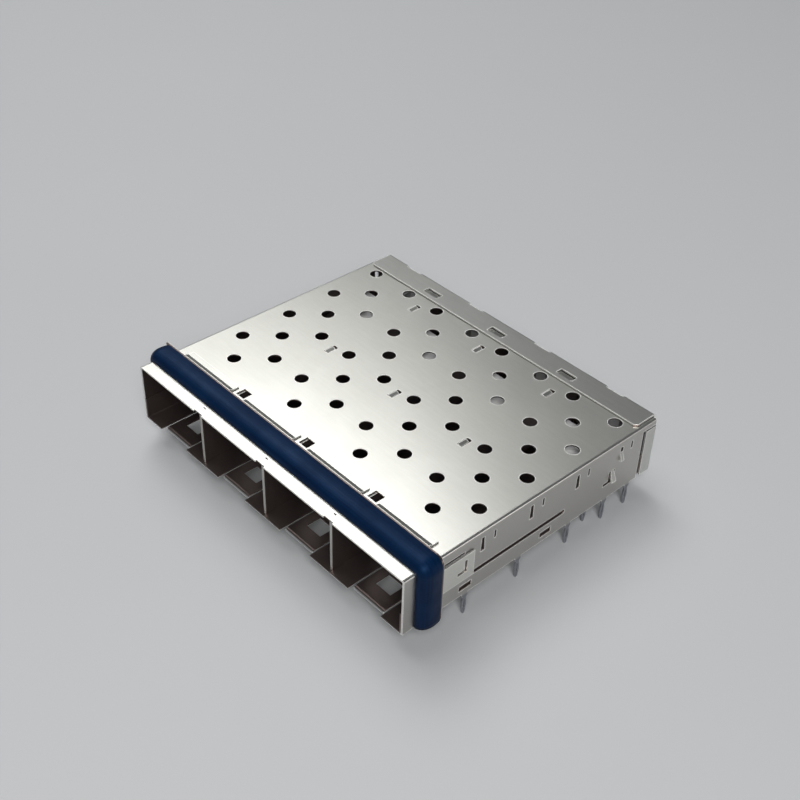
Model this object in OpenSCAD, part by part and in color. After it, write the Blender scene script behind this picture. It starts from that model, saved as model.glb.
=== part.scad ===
// Ganged cage for four small form-factor pluggable transceivers, folded from thin nickel silver.
// X runs across the ports, Y from the nose to the back wall, Z up.
// Z = 0 is the face that sits on the circuit board, and the press-fit pins reach below it.

/* [Ports] */
// Centre distance of neighbouring ports
port_pitch = 14.25; // [14:0.05:15.5]
// Clear height inside a port
port_h = 8.95; // [8.7:0.05:9.6]

/* [Sheet] */
// Thickness of every folded sheet
sheet_t = 0.25; // [0.2:0.05:0.3]
// Outer radius of a fold
fold_r = 0.4; // [0.35:0.05:0.55]
// Clearance between two seated sheets
seat_gap = 0.03; // [0.02:0.01:0.05]
// Clearance round a tab in its slot or window
tab_gap = 0.15; // [0.1:0.01:0.2]

/* [Cage] */
// Length from the nose to the back wall
cage_l = 48.7; // [47:0.1:52]
// Length of the fold that the back cover lays over the top
strip_l = 4.3; // [4:0.1:6]
// Clearance of that fold above the cover
strip_gap = 0.06; // [0.03:0.01:0.15]
// Length of the back cover's side flaps
flap_l = 2.4; // [1.8:0.1:3]

/* [Vent holes] */
// Diameter of a vent hole
vent_d = 2.1; // [1.6:0.1:2.6]
// Distance of the first row from the nose
vent_first = 11.6; // [11:0.1:13]
// Distance from row to row
vent_step = 4.5; // [4.2:0.1:5]
// Sideways offset of the holes in the paired rows
vent_side = 3.95; // [3:0.05:4.6]

/* [Gasket and flange] */
// Distance of the gasket's front edge from the nose
gasket_y = 2; // [1.6:0.1:2.6]
// Depth of the gasket from its front edge to the flange
gasket_depth = 3.4; // [3:0.1:4]
// Height of the gasket's crown above the shell
gasket_rise = 1.5; // [1.2:0.05:1.6]
// Depth of the gasket's rounded front
gasket_round = 1.9; // [1:0.1:2.2]
// Height of the flange above the shell
flange_rise = 1.15; // [0.8:0.05:1.8]
// Reach of the flange's top tabs behind its front face
top_tab_l = 2.4; // [2.2:0.1:3]
// Width of a top tab
top_tab_w = 11.2; // [9:0.1:11.8]
// Slope of the top tabs, down to the rear, in degrees
top_tab_slope = 2; // [0:0.5:4]
// Length of the step in a top tab
tab_step_l = 0.6; // [0.4:0.05:0.6]
// Slope of that step, in degrees
tab_step_slope = 16; // [8:1:20]
// Length of the foot behind the step, which lies on the cover
tab_foot_l = 1; // [0.6:0.05:1.05]
// Reach of the flange's side tabs behind its front face
side_tab_l = 6.6; // [5.5:0.1:7]
// Height of the side tabs
side_tab_h = 4.3; // [3:0.1:4.6]

/* [Floor] */
// Height of the floor's upturned sides
pan_side_h = 3.6; // [3.4:0.1:4.6]
// Width of a latch tongue
tongue_w = 5.8; // [5:0.1:7]
// Length of a latch tongue, from its lip back to its root
tongue_l = 10.5; // [8:0.1:13]
// Depth of the notch in front of a latch tongue
notch_l = 1.25; // [0.9:0.05:1.8]
// Width of the latch hole
latch_w = 2.9; // [2.4:0.1:3.4]
// Length of the latch hole
latch_l = 2.4; // [2:0.1:3]
// Width of the opening for the host connector
connector_w = 11.4; // [11:0.1:12]
// Length of the opening for the host connector
connector_l = 11.4; // [10:0.1:12.5]

/* [Pins] */
// Length of a press-fit pin below the board face
pin_l = 3.8; // [2.8:0.1:4.2]
// Width of a pin's shank
pin_w = 0.65; // [0.55:0.05:0.8]
// Width of a pin's shoulder
pin_root_w = 1.15; // [0.9:0.05:1.5]

/* [Dividers] */
// Distance of a divider's hemmed front edge from the nose
divider_y = 0.4; // [0.2:0.1:0.8]
// Depth of the hem
hem_l = 1.8; // [1.2:0.1:2.6]
// Length of the slot for a clinched tab
clinch_l = 2.1; // [1.8:0.1:2.6]
// Width of that slot
clinch_w = 1; // [0.9:0.05:1.2]
// Reach of a clinched tab to the side
clinch_reach = 0.5; // [0.35:0.05:0.6]

/* [Kick-out springs] */
// Width of a spring's pad
pad_w = 7.4; // [5:0.1:8.5]
// Length of the pad
pad_l = 6.2; // [5:0.1:7]
// Slope of the pad, down to the front, in degrees
pad_slope = 0; // [0:1:12]
// Depth of the pad's rear edge below the top of the cage
pad_drop = 2.45; // [1.8:0.05:3]
// Length of the lip that the pad's front turns down
lip_l = 2.4; // [1.5:0.1:3]
// Width of the arm that carries the pad
arm_w = 2; // [1.6:0.1:3.4]
// Distance of the pad's rear edge from the back wall
arm_l = 7.55; // [6:0.05:8.5]

/* [Hidden] */

PORTS = 4;
METAL = "gainsboro";
SPRING = "silver";
RUBBER = "midnightblue";

eps = 0.01;
// Facets of the drilled and the bent rounds
ROUND_FN = 32;

cage_w = PORTS * port_pitch + sheet_t;
cage_h = port_h + 2 * sheet_t;
half_w = cage_w / 2;
port_x = [for (i = [0 : PORTS - 1]) (i - (PORTS - 1) / 2) * port_pitch];
divider_x = [for (i = [1 : PORTS - 1]) (i - PORTS / 2) * port_pitch];
back_inner_y = cage_l - sheet_t;
// The sheets inside the back cover end where its folds begin
shell_l = cage_l - fold_r;

// Side wall: its rear end, and the height at which the fold above it runs on
side_end_y = cage_l - flap_l - 0.75;
corner_h = 1;

// Slots in the side wall
seam_y = [12.1, 29.8];
seam_z = 2.68;
seam_h = 0.75;
stake_step = 9.1;
stake_first = 13.7;
stake_count = floor((side_end_y - 4 - stake_first) / stake_step) + 1;
stake_pitch_short = 2.2;
stake_z = [cage_h - 3.55, cage_h - 1.2];
stake_w = [0.75, 0.5];
stake_short = [1.4, 0.38];
snap_y = [9.8, 25];
snap_l = 2.2;
snap_z = [0.9, 1.85];
hook_window_y = cage_l - 10.9;
hook_window_l = 2.25;
hook_window_z = [2.6, 4.8];
hook_slit_h = 0.5;
hook_w = 0.95;
hook_reach = 0.65;
lance_h = 1.25;
lance_reach = 0.4;

// Rows of pins along a side wall, along a divider and beside the connector openings
side_pin_y = [11, 21, 31, cage_l - 10.1, cage_l - 5.1];
divider_pin_y = [9, 19.5, 31.5, cage_l - 4.5];
connector_y = cage_l - 2 - connector_l;
connector_pin_y = connector_y + 0.9;

flange_y = gasket_y + gasket_depth + seat_gap;
side_tab_z = seam_z + seam_h / 2;
relief_slot_h = 0.4;
pin_gap = 0.06;
lug_w = 1.75;
lug_l = 1.6;
lug_y = flange_y + 1.35;
clinch_y = [24, cage_l - 7.7];
clinch_sink = 0.1;
clinch_slope = 20;

vent_rows = floor((cage_l - strip_l - vent_d / 2 - 0.1 - vent_first) / vent_step);

// ---------- shared shapes ----------

// Extrudes a profile drawn in X and Z from one Y to another
module along_y(y0, y1)
    translate([0, y1, 0]) rotate([90, 0, 0]) linear_extrude(y1 - y0) children();

// Extrudes a profile drawn in Y and Z from one X to another
module along_x(x0, x1)
    translate([x0, 0, 0]) rotate([90, 0, 90]) linear_extrude(x1 - x0) children();

// A block between two corners
module block(a, b)
    translate(a) cube(b - a);

// A rectangle that stands on the X axis with its two upper corners rounded
module arch(w, h, r) {
    translate([-w / 2, 0]) square([w, h - r]);
    translate([-w / 2 + r, 0]) square([w - 2 * r, h]);
    for (side = [-1, 1]) translate([side * (w / 2 - r), h - r]) circle(r = r, $fn = ROUND_FN);
}

// A channel of folded sheet, open below
module channel(w, h, r, t) {
    difference() {
        arch(w, h, r);
        translate([0, -eps]) arch(w - 2 * t, h - t + eps, r - t);
    }
}

// Section of a sheet folded by a right angle, with its outer corner at the origin
module angle(a, b, r = fold_r, t = sheet_t) {
    translate([r, 0]) square([a - r, t]);
    translate([0, r]) square([t, b - r]);
    intersection() {
        translate([r, r]) difference() {
            circle(r = r, $fn = ROUND_FN);
            circle(r = r - t, $fn = ROUND_FN);
        }
        square([r, r]);
    }
}

// The offset of a point of a path to its left, for a strip that is 2 thick
function left_of(path, i) =
    let (j = max(i, 1), k = min(i, len(path) - 2),
         a = (path[j] - path[j - 1]) / norm(path[j] - path[j - 1]),
         b = (path[k + 1] - path[k]) / norm(path[k + 1] - path[k]))
    [-a[1] - b[1], a[0] + b[0]] / (1 + a * b);

// A sheet seen from its edge, bent at the points of a path
module bent_sheet(path) {
    left = [for (i = [0 : len(path) - 1]) path[i] + left_of(path, i) * sheet_t / 2];
    right = [for (i = [len(path) - 1 : -1 : 0]) path[i] - left_of(path, i) * sheet_t / 2];
    polygon(concat(left, right));
}

// A slot with round ends, l long in all along the first axis
module slot(l, w) {
    translate([-(l - w) / 2, -w / 2]) square([l - w, w]);
    for (side = [-1, 1]) translate([side * (l - w) / 2, 0]) circle(d = w, $fn = 16);
}

// Outline of a press-fit pin, with its shoulder at the origin and its eye part-way down
module pin_outline(root = pin_root_w) {
    eye_z = -0.52 * pin_l;
    eye_h = 0.14 * pin_l;
    difference() {
        polygon([
            [-root / 2, eps], [-root / 2, -0.12 * pin_l], [-pin_w * 0.42, -0.22 * pin_l],
            [-pin_w * 0.42, eye_z + 2 * eye_h], [-pin_w * 0.62, eye_z + eye_h],
            [-pin_w * 0.62, eye_z - eye_h], [-pin_w * 0.4, eye_z - 2 * eye_h],
            [-pin_w * 0.4, -0.93 * pin_l], [-pin_w * 0.2, -pin_l],
            [pin_w * 0.2, -pin_l], [pin_w * 0.4, -0.93 * pin_l],
            [pin_w * 0.4, eye_z - 2 * eye_h], [pin_w * 0.62, eye_z - eye_h],
            [pin_w * 0.62, eye_z + eye_h], [pin_w * 0.42, eye_z + 2 * eye_h],
            [pin_w * 0.42, -0.22 * pin_l], [root / 2, -0.12 * pin_l], [root / 2, eps]]);
        translate([0, eye_z]) rotate(90) slot(2.8 * eye_h, pin_w * 0.34);
    }
}

// ---------- cover ----------

// The vent pattern: one hole on the port's centre line, then a pair beside it, and so on
module vents() {
    for (x = port_x, row = [0 : vent_rows]) {
        y = vent_first + row * vent_step;
        offsets = row % 2 == 0 ? [0] : [-vent_side, vent_side];
        for (dx = offsets) translate([x + dx, y, cage_h - 2 * sheet_t])
            cylinder(d = vent_d, h = 3 * sheet_t, $fn = ROUND_FN);
    }
}

// Openings beside each divider: clinch slots, the lug window behind the flange, the nose notch
// with its small locating slot, and the window that a lance of the back cover enters
module divider_openings() {
    z0 = cage_h - 2 * sheet_t;
    z1 = cage_h + sheet_t;
    for (x = divider_x) {
        for (y = clinch_y) translate([x + clinch_w / 2 - sheet_t / 2 - seat_gap, y - clinch_l / 2, z0])
            linear_extrude(z1 - z0) arch(clinch_w, clinch_l, 2 * tab_gap);
        block([x - sheet_t / 2 - seat_gap, lug_y, z0],
              [x - sheet_t / 2 - seat_gap + lug_w, lug_y + lug_l, z1]);
        block([x - 0.9, -eps, z0], [x + 0.9, 0.25, z1]);
        block([x - 0.45, 1.3, z0], [x + 0.1, 1.5, z1]);
        block([x + window_x - window_w / 2 - tab_gap, window_y - window_l / 2 - tab_gap, z0],
              [x + window_x + window_w / 2 + tab_gap, window_y + window_l / 2 + tab_gap, z1]);
    }
}

// Cuts in the right-hand side wall, which the left-hand one mirrors
module side_openings() {
    x0 = half_w - 2 * sheet_t;
    x1 = half_w + sheet_t;
    // the long seam slot
    along_x(x0, x1) translate([(seam_y[0] + seam_y[1]) / 2, seam_z + seam_h / 2])
        slot(seam_y[1] - seam_y[0], seam_h);
    // the relief above the flange's side tab
    along_x(x0, x1)
        translate([flange_y + side_tab_l / 2, side_tab_z + side_tab_h + relief_slot_h / 2 + 0.05])
        slot(3.7, relief_slot_h);
    // pairs of stake slots: a long one that widens downwards, then a short one
    for (i = [0 : stake_count - 1]) {
        y = stake_first + i * stake_step;
        along_x(x0, x1) polygon([
            [y - stake_w[1] / 2, stake_z[1]], [y + stake_w[1] / 2, stake_z[1]],
            [y + stake_w[0] / 2, stake_z[0]], [y - stake_w[0] / 2, stake_z[0]]]);
        along_x(x0, x1) translate([y + stake_pitch_short, stake_z[1] - stake_short[0] / 2])
            rotate(90) slot(stake_short[0], stake_short[1]);
    }
    // windows that the floor's snaps enter
    for (y = snap_y) block([x0, y, snap_z[0]], [x1, y + snap_l, snap_z[1]]);
    // the slit in front of the outward hook, and the opening that the hook leaves
    block([x0, hook_window_y, hook_window_z[0]],
          [x1, hook_window_y + hook_window_l, hook_window_z[0] + hook_slit_h]);
    block([x0, hook_window_y + hook_window_l - hook_w - 2 * tab_gap, hook_window_z[0]],
          [x1, hook_window_y + hook_window_l, hook_window_z[1]]);
    // behind its rear end the wall is cut away below the fold
    block([x0, side_end_y, -eps], [x1, cage_l, cage_h - corner_h]);
}

// A tab that hangs from the top of its opening in the side wall, its foot pressed outward.
// Its edges run from the width w[1] at the top to w[0] at the foot, about the given Y.
module pressed_tab(y, w, z, reach) {
    intersection() {
        along_y(y - w[0], y + w[0]) polygon([
            [half_w - sheet_t, z[1] + 0.2], [half_w, z[1] + 0.2], [half_w + reach, z[0]],
            [half_w + reach - sheet_t, z[0]], [half_w - sheet_t, z[1]]]);
        along_x(half_w - 2 * sheet_t, half_w + 2 * reach) polygon([
            [y - w[1] / 2, z[1] + 0.2], [y + w[1] / 2, z[1] + 0.2],
            [y + w[0] / 2, z[0]], [y - w[0] / 2, z[0]]]);
    }
}

// What stands on the side wall: the outward hook, the small lance in the last stake slot, and
// the row of pins
module side_hook_and_pins() {
    lance_y = stake_first + (stake_count - 1) * stake_step;
    pressed_tab(hook_window_y + hook_window_l - tab_gap - hook_w / 2, [hook_w, hook_w * 0.6],
                [hook_window_z[0] + hook_slit_h, hook_window_z[1]], hook_reach);
    block([half_w - sheet_t, lance_y - stake_w[0] / 2 - eps, stake_z[0] + 0.1],
          [half_w, lance_y + stake_w[0] / 2 + eps, stake_z[0] + 0.2 + lance_h]);
    pressed_tab(lance_y, [stake_w[0] * 0.9, stake_w[0] * 0.6],
                [stake_z[0] + 0.05, stake_z[0] + 0.05 + lance_h], lance_reach);
    along_x(half_w - sheet_t, half_w) for (y = side_pin_y) translate([y, 0]) pin_outline();
}

module cover() {
    color(METAL) {
        difference() {
            along_y(0, shell_l) channel(cage_w, cage_h, fold_r, sheet_t);
            vents();
            divider_openings();
            side_openings();
            mirror([1, 0, 0]) side_openings();
        }
        side_hook_and_pins();
        mirror([1, 0, 0]) side_hook_and_pins();
    }
}

// ---------- floor pan ----------

pan_w = cage_w - 2 * sheet_t - 2 * seat_gap;

// Cuts for one port: the front notch, the slits beside the tongue, the latch hole, the connector
module port_floor_openings() {
    slit = 0.35;
    block([-tongue_w / 2 - slit, -eps, -sheet_t], [tongue_w / 2 + slit, notch_l, 2 * sheet_t]);
    for (side = [-1, 1]) {
        x = side * (tongue_w + slit) / 2;
        block([x - slit / 2, 0, -sheet_t], [x + slit / 2, notch_l + tongue_l, 2 * sheet_t]);
        // the round relief that ends the slit
        translate([x, notch_l + tongue_l, -sheet_t])
            cylinder(d = 2.2 * slit, h = 3 * sheet_t, $fn = ROUND_FN);
    }
    block([-latch_w / 2, notch_l + 2, -sheet_t], [latch_w / 2, notch_l + 2 + latch_l, 2 * sheet_t]);
    block([-connector_w / 2, connector_y, -sheet_t],
          [connector_w / 2, connector_y + connector_l, 2 * sheet_t]);
}

// A pin folded down from each side edge of a connector opening
module connector_pins() {
    for (side = [0, 1]) mirror([side, 0, 0]) translate([connector_w / 2 - eps, 0, 0])
        along_x(0, sheet_t) translate([connector_pin_y, 0]) pin_outline();
}

// The lip of the latch tongue, rolled down and back at the notch
module tongue_lip() {
    r = 0.5;
    translate([0, notch_l, 0]) along_x(-tongue_w / 2, tongue_w / 2)
        translate([0, sheet_t - r]) intersection() {
            difference() {
                circle(r = r, $fn = ROUND_FN);
                circle(r = r - sheet_t, $fn = ROUND_FN);
            }
            translate([-r, 0]) square([r + eps, r]);
        }
}

module base() {
    color(METAL) {
        difference() {
            along_y(0, shell_l) mirror([0, 1]) translate([0, -pan_side_h])
                channel(pan_w, pan_side_h, fold_r, sheet_t);
            for (x = port_x) translate([x, 0, 0]) port_floor_openings();
            // slots that the dividers' pins pass through
            for (x = divider_x, y = divider_pin_y) block(
                [x - sheet_t / 2 - pin_gap, y - pin_root_w / 2 - pin_gap, -sheet_t],
                [x + sheet_t / 2 + pin_gap, y + pin_root_w / 2 + pin_gap, 2 * sheet_t]);
        }
        for (x = port_x) translate([x, 0, 0]) {
            tongue_lip();
            connector_pins();
        }
        // snaps in the windows of the cover
        for (side = [-1, 1], y = snap_y) along_y(y + tab_gap, y + snap_l - tab_gap) polygon([
            [side * (pan_w / 2 - eps), snap_z[0] + 0.1],
            [side * (pan_w / 2 + 0.2), snap_z[1] - 0.12],
            [side * (pan_w / 2 - eps), snap_z[1] - 0.1]]);
    }
}

// ---------- back cover ----------

strip_w = cage_w - 1.3;
strip_z = cage_h + strip_gap + sheet_t;
window_w = 3;
window_l = 1.25;
window_x = -0.6;
window_y = cage_l - 2.8;
relief_x = -0.5;
relief_w = 3.1;
relief_l = 0.5;
strip_chamfer = 0.5;

// The top strip and the back wall, one sheet folded over the rear top edge
module strip_and_wall() {
    along_x(-strip_w / 2, strip_w / 2) translate([cage_l, strip_z]) mirror([1, 0]) mirror([0, 1])
        angle(strip_l, strip_z);
}

// A side flap, folded forward round the vertical edge of the back wall into the plane of the
// cover's side wall
module side_flap() {
    linear_extrude(cage_h - corner_h - 0.35) {
        translate([half_w, cage_l]) mirror([1, 0]) mirror([0, 1])
            angle(half_w - strip_w / 2 + eps, flap_l);
    }
}

// A lance that slopes down to the rear from the front edge of its window
module lance() {
    y0 = window_y - window_l / 2;
    y1 = y0 + 0.8 * window_l;
    z1 = cage_h;
    along_x(-window_w / 2 + tab_gap, window_w / 2 - tab_gap) polygon([
        [y0 - eps, strip_z], [y1, z1], [y1, z1 - sheet_t], [y0 - eps, strip_z - sheet_t]]);
}

module rear_cover() {
    color(METAL) {
        difference() {
            strip_and_wall();
            // windows over those of the cover
            for (x = divider_x) block(
                [x + window_x - window_w / 2, window_y - window_l / 2, cage_h],
                [x + window_x + window_w / 2, window_y + window_l / 2, strip_z + eps]);
            // chamfers at the ends of the front edge
            for (side = [0, 1]) mirror([side, 0, 0])
                translate([strip_w / 2, cage_l - strip_l, cage_h])
                rotate(45) cube([strip_chamfer * sqrt(2), strip_chamfer * sqrt(2), 1], center = true);
            // reliefs in the rear top fold
            for (x = port_x) block([x + relief_x - relief_w / 2, cage_l - relief_l, cage_h - relief_l],
                                   [x + relief_x + relief_w / 2, cage_l + eps, strip_z + eps]);
        }
        for (x = divider_x) translate([x + window_x, 0, 0]) lance();
        side_flap();
        mirror([1, 0, 0]) side_flap();
    }
}

// ---------- flange and gasket ----------

flange_corner_r = 1.3;
// Sideways offset of the top tabs, and distance of the last one's end from the side wall
top_tab_x = 0.7;
top_tab_end = 2.2;
tab_z = cage_h + seat_gap;
tab_x = half_w + seat_gap;

// Section of a top tab: the fold, the slope, the step down, and the foot that lies on the cover
module top_tab_profile() {
    slope_l = top_tab_l - tab_step_l - tab_foot_l;
    step_foot = [slope_l + tab_step_l, sheet_t / 2 - tab_step_l * tan(tab_step_slope)];
    foot_drop = step_foot[0] * sin(top_tab_slope) - step_foot[1] * cos(top_tab_slope);
    translate([0, foot_drop + sheet_t / 2]) rotate(-top_tab_slope) {
        angle(slope_l, fold_r + 0.1);
        bent_sheet([[slope_l - eps, sheet_t / 2], [slope_l, sheet_t / 2], step_foot,
                    step_foot + tab_foot_l * [cos(top_tab_slope), sin(top_tab_slope)]]);
    }
}

// Where a port's top tab starts and ends in X
function tab_ends(x) = [x + top_tab_x - top_tab_w / 2,
                        min(x + top_tab_x + top_tab_w / 2, half_w - top_tab_end)];

module top_tabs() {
    for (x = port_x) along_x(tab_ends(x)[0], tab_ends(x)[1])
        translate([flange_y, tab_z]) top_tab_profile();
}

// The flange's outline: its left corner is square and its right one rounded
module flange_outline() {
    w = cage_w + 2 * flange_rise;
    h = cage_h + flange_rise;
    arch(w, h, flange_corner_r);
    translate([-w / 2, 0]) square([w / 2, h]);
}

// The side tab, with the L-shaped cut that frees its spring corner
module side_tab() {
    y_cut = flange_y + side_tab_l - 1.75;
    z_cut = side_tab_z + side_tab_h * 0.43;
    cut_w = 0.5;
    cut_h = 1.6;
    difference() {
        translate([0, 0, side_tab_z]) linear_extrude(side_tab_h) translate([tab_x, flange_y])
            angle(fold_r + 0.1, side_tab_l);
        block([tab_x - eps, y_cut, z_cut], [tab_x + 2 * sheet_t, y_cut + cut_w, z_cut + cut_h]);
        block([tab_x - eps, y_cut - 1.2, z_cut - cut_w], [tab_x + 2 * sheet_t, y_cut + cut_w, z_cut]);
    }
}

module flange() {
    color(METAL) {
        difference() {
            along_y(flange_y, flange_y + sheet_t) difference() {
                flange_outline();
                translate([0, -eps]) arch(cage_w + 2 * seat_gap, tab_z + eps, fold_r + seat_gap);
            }
            // room for the folds of the tabs
            for (x = port_x) block(
                [tab_ends(x)[0] - tab_gap, flange_y - eps, tab_z - eps],
                [tab_ends(x)[1] + tab_gap, flange_y + 2 * sheet_t, tab_z + fold_r + 0.05]);
            for (side = [-1, 1]) {
                x = side * (tab_x + (fold_r + 0.05) / 2);
                block([x - (fold_r + 0.05) / 2 - eps, flange_y - eps, side_tab_z - tab_gap],
                      [x + (fold_r + 0.05) / 2, flange_y + 2 * sheet_t, side_tab_z + side_tab_h + tab_gap]);
            }
        }
        top_tabs();
        side_tab();
        mirror([1, 0, 0]) side_tab();
    }
}

// Section of the gasket: [height above the shell, distance from its front edge]
gasket_section = concat(
    [for (a = [0 : 15 : 90]) [gasket_rise * (0.1 + 0.9 * sin(a)), gasket_round * (1 - cos(a))]],
    [[gasket_rise * 0.97, (gasket_round + gasket_depth) / 2], [gasket_rise * 0.86, gasket_depth]],
    [[0, gasket_depth], [0, 0]]);

module gasket_profile() polygon(gasket_section);

module gasket() {
    r = fold_r + seat_gap;
    color(RUBBER) {
        // along the top
        translate([-half_w + fold_r, gasket_y, cage_h + seat_gap]) rotate([90, 0, 90])
            linear_extrude(cage_w - 2 * fold_r) mirror([1, -1]) gasket_profile();
        for (side = [0, 1]) mirror([side, 0, 0]) {
            // down the side
            translate([half_w + seat_gap, gasket_y, 0]) linear_extrude(cage_h - fold_r) gasket_profile();
            // round the corner
            translate([half_w - fold_r, gasket_y, cage_h - fold_r]) rotate([-90, 0, 0])
                rotate_extrude(angle = -90, $fn = 48) translate([r, 0]) gasket_profile();
        }
    }
}

// ---------- dividers ----------

module divider(x) {
    z0 = sheet_t + seat_gap;
    z1 = cage_h - sheet_t - seat_gap;
    hem_t = 2 * sheet_t;
    color(METAL) translate([x, 0, 0]) {
        // the web, with the hem that closes its front edge
        block([-sheet_t / 2, divider_y + hem_t / 2, z0], [sheet_t / 2, shell_l, z1]);
        translate([0, divider_y + hem_t / 2, z0]) cylinder(d = hem_t, h = z1 - z0, $fn = ROUND_FN);
        block([-hem_t / 2, divider_y + hem_t / 2, z0], [hem_t / 2, divider_y + hem_l, z1]);
        // pins through the floor
        along_x(-sheet_t / 2, sheet_t / 2) for (y = divider_pin_y) {
            translate([y - pin_root_w / 2, -eps]) square([pin_root_w, z0 + 2 * eps]);
            translate([y, 0]) pin_outline();
        }
        // tabs clinched over in the slots of the cover
        for (y = clinch_y) along_y(y - clinch_l / 2 + tab_gap, y + clinch_l / 2 - 2 * tab_gap)
            bent_sheet([[0, z1 - eps], [0, cage_h - clinch_sink - sheet_t / 2],
                        [clinch_reach, cage_h - clinch_sink - sheet_t / 2
                         - clinch_reach * tan(clinch_slope)]]);
    }
}

module divider_1() divider(divider_x[0]);
module divider_2() divider(divider_x[1]);
module divider_3() divider(divider_x[2]);

// ---------- kick-out springs ----------

// Path of a spring's sheet in side view, from the lip to the foot: [Y, Z]
leg_y = back_inner_y - seat_gap - sheet_t / 2;
leg_foot_z = 0.17 * cage_h;
leg_plate_h = 0.19 * cage_h;
pad_back = [back_inner_y - arm_l, cage_h - pad_drop];
pad_front = pad_back - pad_l * [cos(pad_slope), sin(pad_slope)];
spring_path = [
    pad_front + lip_l * [sin(8), -cos(8)], pad_front, pad_back,
    [leg_y - 0.5, pad_back[1] + 0.4], [leg_y, pad_back[1] - 0.1], [leg_y, leg_foot_z]];

// One sheet: the pad with its lip, the narrow arm, and the foot that is fixed to the back wall
module kickout_spring(x) {
    color(SPRING) translate([x, 0, 0]) difference() {
        along_x(-pad_w / 2, pad_w / 2) bent_sheet(spring_path);
        for (side = [0, 1]) mirror([side, 0, 0])
            block([arm_w / 2, pad_back[0], leg_foot_z + leg_plate_h], [pad_w, cage_l, cage_h]);
    }
}

module kickout_spring_1() kickout_spring(port_x[0]);
module kickout_spring_2() kickout_spring(port_x[1]);
module kickout_spring_3() kickout_spring(port_x[2]);
module kickout_spring_4() kickout_spring(port_x[3]);

// The frame's origin is the middle of the footprint, on the board
module placed() translate([0, -cage_l / 2, 0]) children();

placed() cover();
placed() base();
placed() rear_cover();
placed() flange();
placed() gasket();
placed() divider_1();
placed() divider_2();
placed() divider_3();
placed() kickout_spring_1();
placed() kickout_spring_2();
placed() kickout_spring_3();
placed() kickout_spring_4();
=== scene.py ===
"""Finishes, gasket, floor, light and camera for the ganged transceiver cage.

Metres throughout. X runs across the ports, Y from the nose to the back wall, Z up from the
board face. The CAD frame carries every sheet-metal piece; the gasket is modelled here.
"""

import math

import bpy
from mathutils import Matrix, Vector


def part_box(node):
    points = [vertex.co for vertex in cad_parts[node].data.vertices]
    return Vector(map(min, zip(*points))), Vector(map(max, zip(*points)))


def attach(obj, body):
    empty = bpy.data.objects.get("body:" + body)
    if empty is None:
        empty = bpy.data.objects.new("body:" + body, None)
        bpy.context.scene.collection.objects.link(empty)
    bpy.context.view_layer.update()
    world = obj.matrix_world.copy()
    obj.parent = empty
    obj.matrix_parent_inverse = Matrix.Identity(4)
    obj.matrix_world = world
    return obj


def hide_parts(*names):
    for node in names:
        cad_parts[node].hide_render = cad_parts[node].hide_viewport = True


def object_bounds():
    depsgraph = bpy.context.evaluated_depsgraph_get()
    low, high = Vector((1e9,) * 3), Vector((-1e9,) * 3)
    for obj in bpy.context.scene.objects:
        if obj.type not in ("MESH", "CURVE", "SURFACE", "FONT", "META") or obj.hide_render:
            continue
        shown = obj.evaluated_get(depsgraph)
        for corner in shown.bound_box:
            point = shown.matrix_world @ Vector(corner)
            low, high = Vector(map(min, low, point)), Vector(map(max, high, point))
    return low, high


MM = 0.001

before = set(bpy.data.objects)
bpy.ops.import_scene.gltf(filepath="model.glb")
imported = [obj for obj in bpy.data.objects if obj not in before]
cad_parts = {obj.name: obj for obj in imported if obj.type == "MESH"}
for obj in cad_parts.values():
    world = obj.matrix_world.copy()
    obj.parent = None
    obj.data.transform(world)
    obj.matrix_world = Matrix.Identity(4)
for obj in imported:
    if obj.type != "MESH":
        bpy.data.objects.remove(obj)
cad_low, cad_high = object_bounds()


# ---------- camera ----------

CAMERA_AZIMUTH = 46.66
CAMERA_ELEVATION = 38.01
CAMERA_ROLL = 1.81
CAMERA_LENS = 56.56
CAMERA_DISTANCE = 186.7 * MM
CAMERA_AIM = Vector((-2.47, 3.38, 4.7)) * MM


def direction(azimuth, elevation):
    """The unit vector towards a point round the object. Azimuth 0 is -Y and 90 is +X."""
    a, e = math.radians(azimuth), math.radians(elevation)
    return Vector((math.sin(a) * math.cos(e), -math.cos(a) * math.cos(e), math.sin(e)))


def make_camera():
    data = bpy.data.cameras.new("camera")
    data.lens = CAMERA_LENS
    data.sensor_width = 36.0
    data.clip_start, data.clip_end = 5 * MM, 20.0
    camera = bpy.data.objects.new("camera", data)
    bpy.context.scene.collection.objects.link(camera)
    back = direction(CAMERA_AZIMUTH, CAMERA_ELEVATION)
    right = Vector((math.cos(math.radians(CAMERA_AZIMUTH)),
                    math.sin(math.radians(CAMERA_AZIMUTH)), 0.0))
    up = back.cross(right)
    roll = math.radians(CAMERA_ROLL)
    turned_right = right * math.cos(roll) + up * math.sin(roll)
    turned_up = -right * math.sin(roll) + up * math.cos(roll)
    axes = Matrix((turned_right, turned_up, back)).transposed()
    camera.matrix_world = Matrix.Translation(CAMERA_AIM + back * CAMERA_DISTANCE) @ axes.to_4x4()
    bpy.context.scene.camera = camera


# ---------- node helpers ----------

EDGE_SAMPLES = 6
SHELTER_SAMPLES = 8
# Cosine between the rounded and the flat normal: a face, and a full edge
FACE_DOT, EDGE_DOT = 0.995, 0.85
MASK_BLUR = 0.03 * MM
# The mix node has sockets of one name for each data type; these are the colour ones
MIX_A, MIX_B, MIX_RESULT = 6, 7, 2


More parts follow.
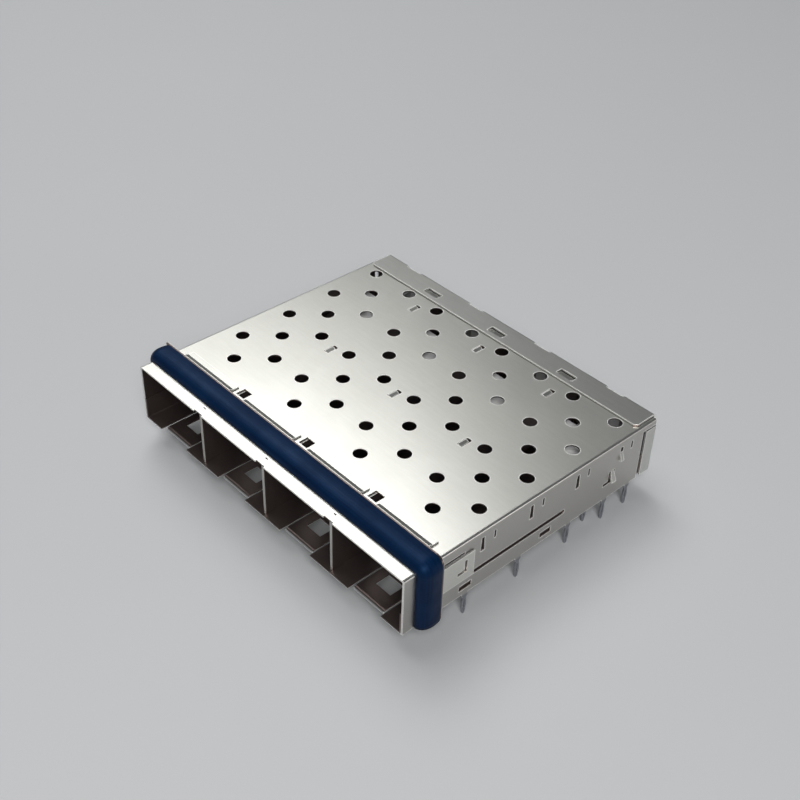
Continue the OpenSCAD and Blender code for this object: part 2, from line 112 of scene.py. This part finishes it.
class Shader:
    """A material whose nodes are added one call at a time."""

    def __init__(self, name):
        self.material = bpy.data.materials.new(name)
        self.material.use_nodes = True
        self.tree = self.material.node_tree
        self.tree.nodes.clear()
        self.surface = self.add("ShaderNodeBsdfPrincipled")
        output = self.add("ShaderNodeOutputMaterial")
        self.link(self.surface.outputs["BSDF"], output.inputs["Surface"])
        self.place = self.add("ShaderNodeTexCoord").outputs["Object"]

    def add(self, kind, **settings):
        node = self.tree.nodes.new(kind)
        for key, value in settings.items():
            setattr(node, key, value)
        return node

    def link(self, source, target):
        self.tree.links.new(source, target)

    def stretched(self, scale, place=None):
        """A place, or else object coordinates, times a scale for each axis in cells per metre."""
        node = self.add("ShaderNodeMapping")
        node.inputs["Scale"].default_value = scale
        self.link(place or self.place, node.inputs["Vector"])
        return node.outputs["Vector"]

    def noise(self, scale, detail=3.0, roughness=0.55, distortion=0.0, place=None):
        node = self.add("ShaderNodeTexNoise")
        node.inputs["Scale"].default_value = 1.0
        node.inputs["Detail"].default_value = detail
        node.inputs["Roughness"].default_value = roughness
        node.inputs["Distortion"].default_value = distortion
        self.link(self.stretched(scale, place), node.inputs["Vector"])
        return node.outputs["Fac"]

    def remap(self, value, low, high, to_low, to_high):
        node = self.add("ShaderNodeMapRange", clamp=True)
        for socket, number in zip(("From Min", "From Max", "To Min", "To Max"),
                                  (low, high, to_low, to_high)):
            node.inputs[socket].default_value = number
        self.link(value, node.inputs["Value"])
        return node.outputs["Result"]

    def math(self, operation, a, b):
        node = self.add("ShaderNodeMath", operation=operation)
        for socket, value in zip(node.inputs, (a, b)):
            if isinstance(value, (int, float)):
                socket.default_value = value
            else:
                self.link(value, socket)
        return node.outputs["Value"]

    def blend(self, a, share_a, b, share_b):
        """The weighted sum of two values."""
        return self.math("ADD", self.math("MULTIPLY", a, share_a),
                         self.math("MULTIPLY", b, share_b))

    def mix(self, factor, a, b):
        """A colour between a and b. Each is a colour or a socket."""
        node = self.add("ShaderNodeMix", data_type="RGBA")
        self.link(factor, node.inputs["Factor"])
        for socket, value in ((node.inputs[MIX_A], a), (node.inputs[MIX_B], b)):
            if isinstance(value, tuple):
                socket.default_value = (*value, 1.0)
            else:
                self.link(value, socket)
        return node.outputs[MIX_RESULT]

    def bump(self, height, distance, strength=0.5):
        node = self.add("ShaderNodeBump")
        node.inputs["Distance"].default_value = distance
        node.inputs["Strength"].default_value = strength
        self.link(height, node.inputs["Height"])
        return node.outputs["Normal"]

    def edge(self, radius):
        """1 on sharp edges and 0 on flat faces."""
        bevel = self.add("ShaderNodeBevel", samples=EDGE_SAMPLES)
        bevel.inputs["Radius"].default_value = radius
        dot = self.add("ShaderNodeVectorMath", operation="DOT_PRODUCT")
        self.link(bevel.outputs["Normal"], dot.inputs[0])
        self.link(self.add("ShaderNodeNewGeometry").outputs["True Normal"], dot.inputs[1])
        return self.remap(dot.outputs["Value"], FACE_DOT, EDGE_DOT, 0.0, 1.0)

    def shelter(self, reach):
        """1 where the surface is open to the room and 0 deep inside the part."""
        node = self.add("ShaderNodeAmbientOcclusion", samples=SHELTER_SAMPLES)
        node.inputs["Distance"].default_value = reach
        return node.outputs["AO"]

    def within(self, low, high, blur=MASK_BLUR):
        """1 inside a box in the row frame and 0 outside it. None leaves a side open."""
        split = self.add("ShaderNodeSeparateXYZ")
        self.link(self.place, split.inputs["Vector"])
        mask = 1.0
        for axis, start, end in zip("XYZ", low, high):
            value = split.outputs[axis]
            if start is not None:
                rise = self.remap(value, start - blur, start, 0.0, 1.0)
                mask = self.math("MULTIPLY", rise, mask)
            if end is not None:
                fall = self.remap(value, end, end + blur, 1.0, 0.0)
                mask = self.math("MULTIPLY", fall, mask)
        return mask

    def set(self, name, value):
        socket = self.surface.inputs[name]
        if isinstance(value, (int, float)):
            socket.default_value = value
        elif isinstance(value, tuple):
            socket.default_value = (*value, 1.0)
        else:
            self.link(value, socket)


# ---------- materials ----------

# Painted highlight: the near-white tone that every edge is painted
PAINTED_EDGE_HIGHLIGHT = (1.0, 0.99, 0.96)
# Painted shade: the dark tone put on metal that the part shelters and inside the boxes of shade
PAINTED_SHADE = (0.17, 0.135, 0.125)
# Painted shade: the darker tone put on the folded side walls
FLANK_PAINTED_SHADE = (0.50, 0.485, 0.46)
# Painted shade: the dark tone put on the pins below the base
PIN_PAINTED_SHADE = (0.30, 0.31, 0.34)

# Each sheet's clean tone, and its tone where the film is thickest
SHELL_TONES = (0.74, 0.74, 0.69), (0.65, 0.65, 0.60)
# Painted shade: the base's tones are set darker than the shell's for the shade on its lower side
# wall
BASE_SHADED_TONES = (0.50, 0.50, 0.475), (0.42, 0.42, 0.395)
REAR_TONES = (0.68, 0.68, 0.645), (0.58, 0.58, 0.545)
DIVIDER_TONES = (0.5, 0.5, 0.47), (0.4, 0.4, 0.37)
# The two tones that the other materials vary between
# Painted light: near white, so the springs' pads look lit through the vent holes
SPRING_PAINTED_LIGHT_TONES = (0.93, 0.93, 0.92), (0.98, 0.98, 0.97)
ELASTOMER_TONES = (0.0004, 0.004, 0.019), (0.0015, 0.014, 0.047)
ELASTOMER_SHEEN = (0.22, 0.48, 1.0)

# The rolling direction is the axis with the few cells per metre
ROLLED_ALONG_X = (220.0, 2200.0, 2200.0)
ROLLED_ALONG_Y = (2200.0, 220.0, 2200.0)

# Radius of the edge mask that paints a highlight along every edge, where the metal also turns
# rougher
EDGE_HIGHLIGHT_REACH = 0.25 * MM
EDGE_HIGHLIGHT_MATT, BURR_ROUGHNESS = 0.5, 0.25
# Painted shade: how near the part must come to darken the metal, and how matt that shade turns it
SHADE_REACH = 0.6 * MM
SHADE_MATT = 0.1
# The pins are painted with shade, a dark tone, full up to this height, fading out over the next
# one
PIN_SHADE_TOP = -0.4 * MM
PIN_SHADE_FADE = 0.4 * MM
SPRING_EDGE = 0.05 * MM


def rolled_sheet(name, tones, rough=0.3, rolling=ROLLED_ALONG_X, dark=(), flanks=None):
    """Satin nickel silver: fine rolling grain, cloudy film, a painted highlight on every edge and
    painted shade where the part shelters it.

    dark lists the boxes, as (low, high), inside which the metal is painted with shade. flanks is
    the X beyond which the folded sides are painted a darker tone for shade.
    """
    s = Shader(name)
    tone, dull = tones
    streaks = s.noise(rolling, detail=4.0, roughness=0.7)
    clouds = s.noise((55.0, 55.0, 55.0), detail=4.0, roughness=0.6, distortion=0.6)
    grain = s.noise((3600.0, 3600.0, 3600.0), detail=3.0)

    body = s.mix(s.remap(s.blend(clouds, 0.7, streaks, 0.3), 0.35, 0.65, 0.0, 1.0), dull, tone)
    # Painted shade: the folded side walls are painted darker
    if flanks is not None:
        body = s.mix(s.within((-flanks, None, None), (flanks, None, None)), FLANK_PAINTED_SHADE, body)
    # Painted highlight: every sharp edge is painted near white
    edge = s.edge(EDGE_HIGHLIGHT_REACH)
    # Painted shade: metal the part shelters, and metal inside the dark boxes, is painted a dark
    # tone
    shade = s.remap(s.shelter(SHADE_REACH), 0.3, 0.65, 1.0, 0.0)
    for low, high in dark:
        shade = s.math("MAXIMUM", shade, s.within(low, high))
    colour = s.mix(shade, s.mix(edge, body, PAINTED_EDGE_HIGHLIGHT), PAINTED_SHADE)
    # Painted shade: the pins below the base are painted dark
    pins = s.within((None, None, None), (None, None, PIN_SHADE_TOP), PIN_SHADE_FADE)
    s.set("Base Color", s.mix(pins, colour, PIN_PAINTED_SHADE))

    # Painted highlight: edges outside the shade turn partly matt so their near-white tone shows,
    # and they turn rougher
    burr_and_highlight = s.math("MULTIPLY", edge, s.math("SUBTRACT", 1.0, shade))
    matt = s.blend(burr_and_highlight, EDGE_HIGHLIGHT_MATT, shade, SHADE_MATT)
    s.set("Metallic", s.math("SUBTRACT", 1.0, matt))
    polish = s.math("ADD", s.remap(clouds, 0.3, 0.7, rough + 0.03, rough - 0.01),
                    s.remap(grain, 0.3, 0.7, 0.02, -0.005))
    s.set("Roughness", s.math("ADD", polish, s.math("MULTIPLY", burr_and_highlight, BURR_ROUGHNESS)))
    s.set("Normal", s.bump(s.blend(streaks, 0.35, grain, 0.65), 0.004 * MM))
    return s.material


def spring_strip(name):
    """Spring steel with fine drawing lines along its length, painted near white and nearly
    non-metallic so that its pads look lit.
    """
    s = Shader(name)
    lines = s.noise((4200.0, 160.0, 160.0), detail=4.0, roughness=0.7)
    clouds = s.noise((140.0, 140.0, 140.0), detail=3.0)
    body = s.mix(s.remap(clouds, 0.35, 0.65, 0.0, 1.0), *SPRING_PAINTED_LIGHT_TONES)
    # Painted highlight: the spring's edges are painted near white
    s.set("Base Color", s.mix(s.edge(SPRING_EDGE), body, PAINTED_EDGE_HIGHLIGHT))
    # Painted light: nearly non-metallic so the near-white tone shows as lit
    s.set("Metallic", 0.1)
    s.set("Roughness", s.remap(lines, 0.3, 0.7, 0.40, 0.30))
    s.set("Normal", s.bump(lines, 0.003 * MM))
    return s.material


def elastomer(name):
    """Dark blue conductive elastomer: extrusion lines along its run and a fine filler speckle."""
    s = Shader(name)
    run = s.add("ShaderNodeUVMap", uv_map="run").outputs["UV"]
    lines = s.noise((60.0, 3000.0, 1.0), detail=4.0, roughness=0.65, place=run)
    clouds = s.noise((160.0, 160.0, 160.0), detail=4.0, roughness=0.6)
    speckle = s.noise((5200.0, 5200.0, 5200.0), detail=1.0)
    wear = s.remap(s.blend(lines, 0.55, clouds, 0.45), 0.36, 0.64, 0.0, 1.0)
    s.set("Base Color", s.mix(wear, *ELASTOMER_TONES))
    s.set("Roughness", s.remap(clouds, 0.3, 0.7, 0.55, 0.42))
    s.set("Specular IOR Level", 0.23)
    s.set("Specular Tint", ELASTOMER_SHEEN)
    s.set("Normal", s.bump(s.blend(lines, 0.6, speckle, 0.4), 0.02 * MM))
    return s.material


def dress(node, material):
    """Gives a CAD node one material on all of its faces."""
    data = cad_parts[node].data
    data.materials.clear()
    data.materials.append(material)


def dress_cad():
    # How far a box of painted shade starts below the outer face of a 0.25 mm sheet
    skin = 0.15 * MM
    low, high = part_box("cover")
    nose, roof = low.y, high.z
    wall = min(-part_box("base")[0].x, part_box("base")[1].x) - 0.5 * skin
    # Boxes of painted shade: inside the shell, the pan and the webs, and the flange plate's front
    # behind the gasket
    shell_inside = ((-wall, nose + skin, None), (wall, None, roof - skin))
    pan_inside = ((-wall, nose - skin, 0.5 * skin), (wall, None, None))
    web_inside = ((None, nose + 0.55 * MM, 0.0), (None, None, roof - 2 * skin))
    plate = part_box("flange")[0]
    plate_front = ((None, plate.y - skin, None), (None, plate.y + 1.4 * skin, None))
    # The rear strip's chamfered corner, which with the cover below it throws the fill lamp back;
    # painted shade darkens it to hide that highlight
    back_low, back_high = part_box("rear_cover")
    strip_corner = ((back_high.x - 1.25 * MM, back_low.y - skin, None),
                    (back_high.x - 0.55 * MM, back_low.y + 4 * skin, back_high.z - 0.4 * skin))

    dress("cover", rolled_sheet("cover_sheet", SHELL_TONES, dark=[shell_inside], flanks=wall))
    dress("base", rolled_sheet("base_sheet", BASE_SHADED_TONES, rough=0.36, dark=[pan_inside]))
    dress("rear_cover", rolled_sheet("rear_sheet", REAR_TONES, dark=[strip_corner]))
    dress("flange", rolled_sheet("flange_sheet", SHELL_TONES, dark=[plate_front]))
    dividers = rolled_sheet("divider_sheet", DIVIDER_TONES, rough=0.38, rolling=ROLLED_ALONG_Y,
                            dark=[web_inside])
    springs = spring_strip("spring_strip")
    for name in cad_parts:
        if name.startswith("divider"):
            dress(name, dividers)
        if name.startswith("kickout"):
            dress(name, springs)


# ---------- gasket ----------

GASKET_RISE = 1.5 * MM
GASKET_ROUND = 1.9 * MM
GASKET_INNER_R = 0.43 * MM
# Shares of the rise: the foot of the rounded front, the crown's fall to the rear edge, and
# the upper and lower end of that edge's bevel
GASKET_FOOT, GASKET_FALL = 0.06, 0.11
GASKET_HEEL_TOP, GASKET_HEEL_LOW = 0.84, 0.76
GASKET_HEEL = 0.05 * MM
# Steps of the section's rounded front and flat top, and of the path's side, corner and top
FRONT_STEPS, CROWN_STEPS = 15, 9
SIDE_STEPS, CORNER_STEPS, TOP_STEPS = 16, 12, 120
# Run length in millimetres that a turn adds, because the rubber lies outside the bend
GASKET_TURN = 0.3
# Unevenness along the run: share of the rise, radians per millimetre, and start
GASKET_WAVES = (0.012, 0.9, 0), (0.008, 2.3, 1)


def gasket_section(depth):
    """[height above the shell, distance from the front edge] round the gasket's section."""
    front = [(GASKET_RISE * (GASKET_FOOT + (1 - GASKET_FOOT) * math.sin(a)),
              GASKET_ROUND * (1 - math.cos(a)))
             for a in (math.radians(90 * i / FRONT_STEPS) for i in range(FRONT_STEPS + 1))]
    crown = [(GASKET_RISE * (1 - GASKET_FALL * t * t), GASKET_ROUND + (depth - GASKET_ROUND) * t)
             for t in (i / CROWN_STEPS for i in range(1, CROWN_STEPS))]
    heel = [(GASKET_RISE * GASKET_HEEL_TOP, depth - GASKET_HEEL),
            (GASKET_RISE * GASKET_HEEL_LOW, depth)]
    return [(0.0, 0.0)] + front + crown + heel + [(0.0, depth)]


def gasket_path(low, high):
    """Stations along the gasket: (point on the shell, outward direction, length run so far)."""
    half = high.x - GASKET_RISE
    top = high.z - GASKET_RISE
    r = GASKET_INNER_R
    left = [((-half, low.z + (top - r - low.z) * i / SIDE_STEPS), (-1.0, 0.0))
            for i in range(SIDE_STEPS + 1)]
    for i in range(1, CORNER_STEPS):
        a = math.radians(90 * i / CORNER_STEPS)
        out = (-math.cos(a), math.sin(a))
        left.append(((-half + r + r * out[0], top - r + r * out[1]), out))
    over = [((-half + r + 2 * (half - r) * i / TOP_STEPS, top), (0.0, 1.0))
            for i in range(TOP_STEPS + 1)]
    right = [((-x, z), (-out[0], out[1])) for (x, z), out in reversed(left)]

    stations = left + over + right
    run, length = [], 0.0
    for i, (point, out) in enumerate(stations):
        if i:
            last_point, last_out = stations[i - 1]
            length += (math.dist(point, last_point)
                       + GASKET_TURN * math.dist(out, last_out) * MM)
        run.append((point, out, length))
    return run


def unevenness(length):
    """The share of its full rise that the gasket keeps at a place along its run."""
    share = 1
    for depth, pace, start in GASKET_WAVES:
        share -= depth * (1 + math.sin(length / MM * pace + start))
    return share


def make_gasket():
    """The gasket's own mesh: its section swept up one side, over the top and down the other."""
    low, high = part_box("gasket")
    section = gasket_section(high.y - low.y)
    path = gasket_path(low, high)
    points, faces, places = [], [], []
    n = len(section)
    for (x, z), out, length in path:
        keep = unevenness(length)
        for rise, back in section:
            points.append((x + out[0] * rise * keep, low.y + back, z + out[1] * rise * keep))
            places.append((length, rise + back))
    for i in range(len(path) - 1):
        for j in range(n):
            k = (j + 1) % n
            faces.append((i * n + j, i * n + k, (i + 1) * n + k, (i + 1) * n + j))
    faces.append(tuple(reversed(range(n))))
    faces.append(tuple(range((len(path) - 1) * n, len(path) * n)))
    mesh = bpy.data.meshes.new("gasket_elastomer")
    mesh.from_pydata(points, [], faces)
    uv = mesh.uv_layers.new(name="run")
    for loop in mesh.loops:
        uv.data[loop.index].uv = places[loop.vertex_index]
    mesh.shade_smooth()
    mesh.materials.append(elastomer("gasket_elastomer"))
    gasket = bpy.data.objects.new("gasket_elastomer", mesh)
    bpy.context.scene.collection.objects.link(gasket)
    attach(gasket, "root")
    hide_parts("gasket")


# ---------- floor and light ----------

FLOOR_TONES = (0.47, 0.48, 0.49), (0.50, 0.505, 0.51)
FLOOR_HALF = 4.0
FLOOR_GAP = 0.02 * MM
ROOM_TONE = (0.90, 0.94, 1.0)
ROOM_STRENGTH = 0.09
# Name, azimuth and elevation in degrees, distance and diameter in metres, radiance
LAMPS = (
    ("key", 245, 52, 0.6, 0.33, 3.0),
    ("overhead", 275, 68, 0.9, 0.7, 2.6),
    ("side", 122, 8, 1.5, 0.4, 4.5),
    ("fill", 50, 43, 0.7, 0.34, 12.0),
)


def make_floor():
    s = Shader("pale_floor")
    s.set("Base Color", s.mix(s.noise((6.0, 6.0, 6.0), detail=3.0), *FLOOR_TONES))
    s.set("Roughness", 0.7)
    half = FLOOR_HALF
    z = cad_low.z - FLOOR_GAP
    mesh = bpy.data.meshes.new("floor")
    mesh.from_pydata([(-half, -half, z), (half, -half, z), (half, half, z), (-half, half, z)],
                     [], [(0, 1, 2, 3)])
    mesh.materials.append(s.material)
    floor = bpy.data.objects.new("floor", mesh)
    bpy.context.scene.collection.objects.link(floor)


def soft_light(name, azimuth, elevation, distance, diameter, radiance):
    """A round lamp of even brightness that faces the part from the given direction."""
    data = bpy.data.lights.new(name, "AREA")
    data.shape = "DISK"
    data.size = diameter
    data.energy = radiance * math.pi * math.pi * diameter ** 2 / 4
    lamp = bpy.data.objects.new(name, data)
    bpy.context.scene.collection.objects.link(lamp)
    towards = direction(azimuth, elevation)
    lamp.location = (cad_low + cad_high) / 2 + towards * distance
    lamp.rotation_mode = "QUATERNION"
    lamp.rotation_quaternion = towards.to_track_quat("Z", "Y")


def make_light():
    world = bpy.data.worlds.new("studio")
    bpy.context.scene.world = world
    world.use_nodes = True
    background = world.node_tree.nodes["Background"]
    background.inputs["Color"].default_value = (*ROOM_TONE, 1.0)
    background.inputs["Strength"].default_value = ROOM_STRENGTH
    for lamp in LAMPS:
        soft_light(*lamp)


make_camera()
dress_cad()
make_gasket()
make_floor()
make_light()
bpy.context.scene.view_settings.view_transform = "Standard"
